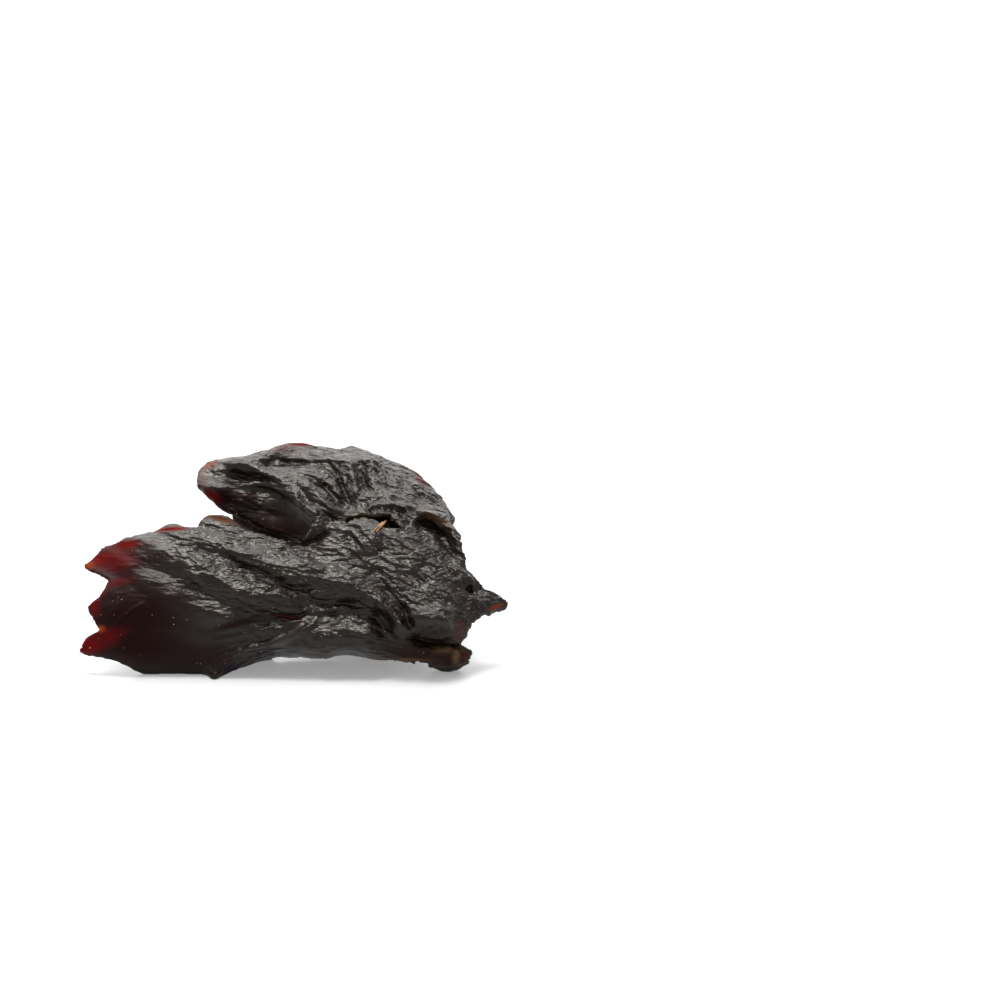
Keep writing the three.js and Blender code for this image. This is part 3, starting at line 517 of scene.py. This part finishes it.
# Its colour: near-black brown; red, crimson and orange at the thin edges, partly the meat's own red and
# partly a painted glow of light coming through them; crusted ochre where it was torn; and a dark, dull strip
# of painted shade on the turned-under edge of the upper lobe's roll. Each tint has a strength, a place on the
# sheet, radii and a turn, in degrees.
MAROON = (0.011, 0.0025, 0.0025)
CRIMSON = (0.13, 0.003, 0.0055)
RED = (0.1, 0.005, 0.003)
ORANGE = (0.22, 0.036, 0.005)
AMBER = (0.065, 0.022, 0.007)
PINK = (0.10, 0.02, 0.017)
OCHRE = (0.17, 0.1, 0.05)
PURPLE = (0.02, 0.012, 0.03)
UMBER = (0.022, 0.01, 0.007)
# the colour of the painted shade on the turned-under edge of the upper lobe's roll
PAINTED_SHADE = (0.007, 0.0026, 0.002)
TINTS_AND_PAINTED_LIGHT = [
    (MAROON, 0.9, (-30.2, 3.1), (11.11, 8.33), 0),
    (MAROON, 0.7, (-32.4, 14.3), (7.78, 2.96), -10),
    (MAROON, 0.7, (-21.9, -3.3), (14.81, 3.33), 5),
    (MAROON, 0.8, (-10.7, 2.4), (4.81, 0.74), -15),
    (MAROON, 0.7, (-4.6, 21.9), (8.33, 2.41), 18),
    (MAROON, 0.9, (-12.6, 25.7), (3.15, 1.48), 20),
    # crimson fingertips and edges: partly the meat's own red, partly a painted glow of light through the thin
    # meat
    (CRIMSON, 1, (-38, -1.5), (2.04, 1.67), 0),
    (CRIMSON, 0.5, (-35, -0.6), (2.96, 1.67), -20),
    (CRIMSON, 0.25, (-33.5, 0.7), (3.33, 1.11), -12),
    (CRIMSON, 0.55, (-37, 5.7), (1.3, 2.22), 0),
    (CRIMSON, 0.4, (-32.4, 10.2), (2.96, 0.93), -10),
    (CRIMSON, 0.5, (-35.9, 8.3), (1.85, 1.11), -45),
    (CRIMSON, 0.22, (-1.5, 3.7), (2.78, 0.37), 10),
    (CRIMSON, 0.5, (31.5, -3.5), (0.74, 1.11), 0),
    # red rims: partly the meat's own red, partly a painted glow of light through the thin edges
    (RED, 1, (-30.9, 17.2), (2.96, 0.83), -5),
    (RED, 0.45, (-33.3, 15.6), (3.7, 1.48), -20),
    (RED, 0.8, (-35.9, 14.4), (1.67, 1.11), -35),
    (RED, 1, (-22.6, 20), (3.89, 0.48), -4),
    (RED, 0.9, (-15, 26.1), (1.85, 1.02), 28),
    (RED, 1, (1.5, 35.7), (2.41, 0.37), 2),
    (RED, 0.5, (23.7, 29.3), (0.74, 1.48), -35),
    # orange tips: partly the meat's own colour, partly a painted glow of light through the thinnest meat
    (ORANGE, 0.9, (-37.8, 13.3), (1.11, 0.74), -20),
    (ORANGE, 1, (-35.7, 1.5), (0.93, 0.65), 0),
    (ORANGE, 0.55, (-15.4, 32), (1.67, 0.67), -25),
    (ORANGE, 0.6, (-3.1, 19.8), (1.48, 0.41), 15),
    (ORANGE, 0.6, (37.6, 5.6), (1.48, 0.41), -22),
    (AMBER, 1, (-13.3, 21.9), (3.7, 0.63), 16),
    (AMBER, 0.9, (-16.5, 22.4), (1.48, 0.56), -8),
    (RED, 0.35, (-17, 29.4), (0.83, 1.67), 0),
    (PINK, 0.4, (-2.2, 35), (2.59, 0.56), -5),
    (PINK, 0.4, (-8.3, 33.9), (1.85, 0.37), 0),
    (UMBER, 0.8, (24.4, -3.1), (8.33, 2.41), 3),
    (MAROON, 0.6, (30, -4.3), (2.22, 1.67), 0),
    (OCHRE, 0.8, (28.3, -2.2), (2.41, 0.63), 3),
    (OCHRE, 0.5, (30.2, -3.7), (0.74, 1.48), 10),
    (OCHRE, 0.6, (18.9, -4.3), (5.56, 0.37), 0),
    (RED, 0.35, (30.7, 1.3), (0.56, 1.85), 10),
    (OCHRE, 0.35, (12.4, 22.2), (2.96, 0.46), 0),
    (OCHRE, 0.3, (26.5, 21.9), (4.07, 0.65), 25),
    # painted shade: a near-black, dull strip on the roll's turned-under edge, in place of the bright
    # reflection it catches
    (PAINTED_SHADE, 1, (-5.4, 20.6), (8.52, 1.67), 21),
    (CRIMSON, 0.45, (-33.3, 13.9), (4.44, 2.04), -5),
    (RED, 0.6, (-38.5, -2), (0.93, 0.93), 0),
    (PURPLE, 0.8, (-11.3, -6.5), (1.67, 1.3), 0),
    (PURPLE, 0.5, (-4.6, -2.4), (0.93, 0.93), 0),
]
TINT_EDGE = 1.5
THIN_MEAT = (0.6, 2.2)
PAINTED_GLOW_WHERE_THIN = 0.28
FRONT_DEPTH = (2.5, 5)
place = vectors(skin, "co")
outward = vectors(skin, "normal")
tree = tree_of(skin, place)
thin = 1 - smoothstep(thickness_under(place, outward, tree), *THIN_MEAT)
on_front = 1 - smoothstep(depth_behind_front(place, tree), *FRONT_DEPTH)
sheet = seen(place)
tint = np.zeros((len(place), 4))
# Thin meat that lies behind the surface the camera meets first gets a painted crimson glow of light through
# it.
tint[:, :3] = CRIMSON
tint[:, 3] = PAINTED_GLOW_WHERE_THIN * thin * (1 - on_front)
for colour, amount, at, radii, degrees in TINTS_AND_PAINTED_LIGHT:
    turn = math.radians(degrees)
    offset = sheet - np.array(at)
    a = (offset[:, 0] * math.cos(turn) - offset[:, 1] * math.sin(turn)) / radii[0]
    b = (offset[:, 0] * math.sin(turn) + offset[:, 1] * math.cos(turn)) / radii[1]
    cover = amount * np.exp(-(a * a + b * b) ** TINT_EDGE) * on_front
    total = np.maximum(tint[:, 3] + cover - tint[:, 3] * cover, 1e-6)
    share = (cover / total)[:, None]
    tint[:, :3] = tint[:, :3] * (1 - share) + np.array(colour) * share
    tint[:, 3] = total

# The finest crinkles follow the run of the wrinkles. Where the skin hangs or stands upright they are calmer
# than where it lies back.
CALM = 0.4
LYING_BACK = (0.2, 0.9)
run, strength = grain_at(sheet)
leans_back = smoothstep(outward @ np.array(up) / np.maximum(outward @ -np.array(ahead), 0.1), *LYING_BACK)
strength *= CALM + (1 - CALM) * leans_back
grain = np.stack([np.cos(2 * run), np.sin(2 * run), strength], axis=1)
stored = skin.attributes.new("grain", "FLOAT_VECTOR", "POINT")
stored.data.foreach_set("vector", grain.astype(np.float32).ravel())
stored = skin.attributes.new("tint", "FLOAT_COLOR", "POINT")
stored.data.foreach_set("color", tint.astype(np.float32).ravel())
set_points(skin, place * MM)
skin.polygons.foreach_set("use_smooth", [True] * len(skin.polygons))
skin.update()


def node(tree, kind, **values):
    """A shader node with its sockets set."""
    made = tree.nodes.new(kind)
    for name, value in values.items():
        made.inputs[name.replace("_", " ")].default_value = value
    return made


def math_node(tree, operation, first, second):
    """The result of a sum on two sockets or numbers."""
    made = tree.nodes.new("ShaderNodeMath")
    made.operation = operation
    for socket, value in zip(made.inputs, (first, second)):
        if isinstance(value, (int, float)):
            socket.default_value = value
        else:
            tree.links.new(value, socket)
    return made.outputs["Value"]


def noise_node(tree, vector, scale, detail):
    """A noise, from 0 to 1, over the places that a socket gives."""
    made = node(tree, "ShaderNodeTexNoise", Scale=scale, Detail=detail)
    tree.links.new(vector, made.inputs["Vector"])
    return made.outputs["Fac"]


def ramp(tree, factor, start, first, end, second):
    """A colour that goes from the first, where the factor is at the start, to the second."""
    made = tree.nodes.new("ShaderNodeValToRGB")
    made.color_ramp.elements[0].position = start
    made.color_ramp.elements[0].color = first
    made.color_ramp.elements[1].position = end
    made.color_ramp.elements[1].color = second
    tree.links.new(factor, made.inputs["Fac"])
    return made.outputs["Color"]


def between(tree, factor, first, second):
    """A number that goes from the first to the second as the factor goes from 0 to 1."""
    made = node(tree, "ShaderNodeMapRange", To_Min=first, To_Max=second)
    tree.links.new(factor, made.inputs["Value"])
    return made.outputs["Result"]


# The material: a dark brown, a little blotched and worn, under its tints, among which are a painted glow at
# the thin edges and a strip of painted shade. Its finest crinkles are a noise drawn out along each of a few
# runs, each showing where the wrinkles run that way, and its pores are a finer noise. Sizes here are in
# metres, and the blotches, the worn places and the pores are so many to one.
DARK_BROWN = (0.0042, 0.0019, 0.0016, 1)
LIGHT_BROWN = (0.0098, 0.0052, 0.0039, 1)
BLOTCHES = 240
SPECULAR_TINT = (1, 0.94, 0.85, 1)
GLOSS = 0.35
GLOSS_WHERE_THIN = 0.02
ROUGHNESS = (0.28, 0.4)
WORN_PLACES = 700
DULLER_WHERE_THIN = 0.25
RUNS = 6
RUN_SHARPNESS = 3
LONG = 0.0013
SHORT = 0.00034
CRINKLE = 0.00042
PORES = 3000
PORE = 0.00005


def dried_meat():
    material = bpy.data.materials.new("dried_liver")
    material.use_nodes = True
    tree = material.node_tree
    link = tree.links.new
    shader = tree.nodes["Principled BSDF"]
    shader.inputs["Specular Tint"].default_value = SPECULAR_TINT
    spot = tree.nodes.new("ShaderNodeTexCoord").outputs["Object"]

    brown = ramp(tree, noise_node(tree, spot, BLOTCHES, 3), 0.35, DARK_BROWN, 0.7, LIGHT_BROWN)
    glow = tree.nodes.new("ShaderNodeAttribute")
    glow.attribute_name = "tint"
    colour = tree.nodes.new("ShaderNodeMix")
    colour.data_type = "RGBA"
    link(glow.outputs["Alpha"], colour.inputs["Factor"])
    link(brown, colour.inputs["A"])
    link(glow.outputs["Color"], colour.inputs["B"])
    link(colour.outputs["Result"], shader.inputs["Base Color"])
    gloss = between(tree, glow.outputs["Alpha"], GLOSS, GLOSS_WHERE_THIN)
    link(gloss, shader.inputs["Specular IOR Level"])

    sheen = between(tree, noise_node(tree, spot, WORN_PLACES, 2), *ROUGHNESS)
    duller = math_node(tree, "MULTIPLY", glow.outputs["Alpha"], DULLER_WHERE_THIN)
    link(math_node(tree, "ADD", sheen, duller), shader.inputs["Roughness"])

    grain = tree.nodes.new("ShaderNodeAttribute")
    grain.attribute_name = "grain"
    parts = tree.nodes.new("ShaderNodeSeparateXYZ")
    link(grain.outputs["Vector"], parts.inputs["Vector"])
    height = None
    for step in range(RUNS):
        run = math.pi * step / RUNS
        laid = node(tree, "ShaderNodeMapping", Rotation=(0, -run, 0), Scale=(1 / LONG, 1 / LONG, 1 / SHORT))
        laid.vector_type = "POINT"
        link(spot, laid.inputs["Vector"])
        crinkle = noise_node(tree, laid.outputs["Vector"], 1, 1)
        share = tree.nodes.new("ShaderNodeVectorMath")
        share.operation = "DOT_PRODUCT"
        share.inputs[1].default_value = (math.cos(2 * run), math.sin(2 * run), 0)
        link(grain.outputs["Vector"], share.inputs[0])
        along = math_node(tree, "MAXIMUM", share.outputs["Value"], 0)
        weight = math_node(tree, "POWER", along, RUN_SHARPNESS)
        part = math_node(tree, "MULTIPLY", crinkle, weight)
        height = part if height is None else math_node(tree, "ADD", height, part)
    height = math_node(tree, "MULTIPLY", height, parts.outputs["Z"])
    crinkles = node(tree, "ShaderNodeBump", Distance=CRINKLE, Strength=1)
    link(height, crinkles.inputs["Height"])
    pores = node(tree, "ShaderNodeBump", Distance=PORE, Strength=1)
    link(noise_node(tree, spot, PORES, 2), pores.inputs["Height"])
    link(crinkles.outputs["Normal"], pores.inputs["Normal"])
    link(pores.outputs["Normal"], shader.inputs["Normal"])
    return material


def made_piece(name, mesh, material):
    """A finished piece of the one body, with one material."""
    piece = placed(name, mesh)
    mesh.materials.clear()
    mesh.materials.append(material)
    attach(piece, "root")
    return piece


liver = made_piece("liver", skin, dried_meat())
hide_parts("dried_liver")

# The crumbs: tiny dry specks of meat and fat, pale yellow to orange, stuck all over the skin. They are
# pressed a little way into it. Each group has a middle on the sheet, a spread and a number.
CRUMBS = 230
CRUMB_GROUPS = (((-8.3, 28), 3, 9), ((20.6, 16.1), 2, 6), ((6.1, 28.7), 1, 3), ((19.5, 22.4), 2, 5))
CRUMB_RADII = (0.05, 0.12)
CRUMB_STRETCH = (0.7, 1.3)
CRUMB_LIFT = 0.3
CRUMB_ORANGE = (0.2, 0.06, 0.015, 1)
CRUMB_YELLOW = (0.32, 0.2, 0.08, 1)
SPECKLES = 900


def on_skin(spot):
    """The place and the outward direction of the skin that the camera sees at a spot on the sheet."""
    aim = SHEET_ORIGIN + float(spot[0]) * right + float(spot[1]) * up
    hit = tree.ray_cast(eye, (aim - eye).normalized())
    return hit[0], hit[1]


def speckled(name, first, second, rough):
    """A dull material that changes from one colour to another from place to place."""
    material = bpy.data.materials.new(name)
    material.use_nodes = True
    tree = material.node_tree
    shader = tree.nodes["Principled BSDF"]
    shader.inputs["Roughness"].default_value = rough
    spot = tree.nodes.new("ShaderNodeTexCoord").outputs["Object"]
    mixed = ramp(tree, noise_node(tree, spot, SPECKLES, 1), 0.4, first, 0.6, second)
    tree.links.new(mixed, shader.inputs["Base Color"])
    return material


crumb_places = [(Vector(place[i]), Vector(outward[i])) for i in chance.integers(0, len(place), CRUMBS)]
for middle, spread, count in CRUMB_GROUPS:
    crumb_places += [on_skin(np.array(middle) + chance.normal(0, spread / 2, 2)) for _ in range(count)]
crumb_bm = bmesh.new()
for at, facing in crumb_places:
    radius = float(chance.uniform(*CRUMB_RADII))
    stretch = Matrix.Diagonal((*chance.uniform(*CRUMB_STRETCH, 3), 1))
    turned = Matrix.Rotation(chance.uniform(0, math.pi), 4, Vector(chance.normal(0, 1, 3)).normalized())
    laid = Matrix.Translation((at + CRUMB_LIFT * radius * facing) * MM) @ turned @ stretch
    bmesh.ops.create_icosphere(crumb_bm, subdivisions=2, radius=radius * MM, matrix=laid)
made_piece("crumbs", mesh_of(crumb_bm, "crumbs"), speckled("crumbs", CRUMB_ORANGE, CRUMB_YELLOW, 0.7))

# The shred: three short golden fibres of meat, torn up at the edge beside the opening and dried there. Each
# goes through three places on the sheet, a little above the skin, and is thickest at the middle one.
SHREDS = (((17.5, 21.6), (16.4, 20.5), (15.4, 19.3)), ((17.9, 21), (17.1, 20.2), (16.3, 19.6)),
          ((16.7, 21.3), (15.9, 20.3), (15.2, 19.7)))
SHRED_RADII = (0.12, 0.27, 0.1)
SHRED_LIFT = 0.3
SHRED_BROWN = (0.16, 0.06, 0.02, 1)
SHRED_GOLD = (0.3, 0.16, 0.06, 1)
shred_curve = bpy.data.curves.new("shred", "CURVE")
shred_curve.dimensions = "3D"
shred_curve.bevel_depth = MM
shred_curve.bevel_resolution = 3
shred_curve.use_fill_caps = True
for strand in SHREDS:
    fibre = shred_curve.splines.new("BEZIER")
    fibre.bezier_points.add(len(strand) - 1)
    for knot, spot, radius in zip(fibre.bezier_points, strand, SHRED_RADII):
        at, facing = on_skin(spot)
        knot.co = (at + SHRED_LIFT * facing) * MM
        knot.radius = radius
        knot.handle_left_type = knot.handle_right_type = "AUTO"
shred_mesh = finished(placed("shred_curve", shred_curve))
made_piece("shred", shred_mesh, speckled("shred", SHRED_BROWN, SHRED_GOLD, 0.6))

# The studio: a plain pale table that runs on behind the piece, soft light from above, and a pale screen
# behind the table, out of the picture, that gives the upper edges their sheen.
FLOOR_SIZE = 12
FLOOR_GREY = (0.4, 0.4, 0.4, 1)
FLOOR_ROUGHNESS = 0.6
WHITE = (1, 1, 1, 1)
FLOOR_LIGHT = 0.27
ROOM_LIGHT = 0.55
floor_bm = bmesh.new()
bmesh.ops.create_grid(floor_bm, x_segments=1, y_segments=1, size=FLOOR_SIZE)
floor = placed("floor", mesh_of(floor_bm, "floor"))
pale = bpy.data.materials.new("pale_floor")
pale.use_nodes = True
table = pale.node_tree.nodes["Principled BSDF"]
table.inputs["Base Color"].default_value = FLOOR_GREY
table.inputs["Roughness"].default_value = FLOOR_ROUGHNESS
table.inputs["Emission Color"].default_value = WHITE
table.inputs["Emission Strength"].default_value = FLOOR_LIGHT
floor.data.materials.append(pale)

world = bpy.data.worlds.new("studio")
scene.world = world
world.use_nodes = True
world.node_tree.nodes["Background"].inputs["Color"].default_value = WHITE
world.node_tree.nodes["Background"].inputs["Strength"].default_value = ROOM_LIGHT

# The light overhead is brightest in its middle, and reaches further down behind the piece than before it.
# So it is three discs in one: each a strength, a width and a lean, in degrees.
OVERHEAD = ((1.8, 16, 4), (1.8, 36, 8), (1.6, 72, 18))
TO_THE_SIDE = math.radians(-6)
for energy, wide, lean in OVERHEAD:
    overhead = bpy.data.lights.new("overhead", "SUN")
    overhead.energy = energy
    overhead.angle = math.radians(wide)
    placed("overhead", overhead).rotation_euler = (math.radians(-lean), TO_THE_SIDE, 0)

SCREEN_SIZE = (1.6, 0.8)
SCREEN_ENERGY = 9
SCREEN_PLACE = (0, 1.0, 0.6)
screen = bpy.data.lights.new("screen", "AREA")
screen.shape = "RECTANGLE"
screen.size, screen.size_y = SCREEN_SIZE
screen.energy = SCREEN_ENERGY
screen_lamp = placed("screen", screen)
screen_lamp.location = SCREEN_PLACE
screen_lamp.rotation_euler = (math.radians(-90), 0, 0)
scene.view_settings.view_transform = "Standard"
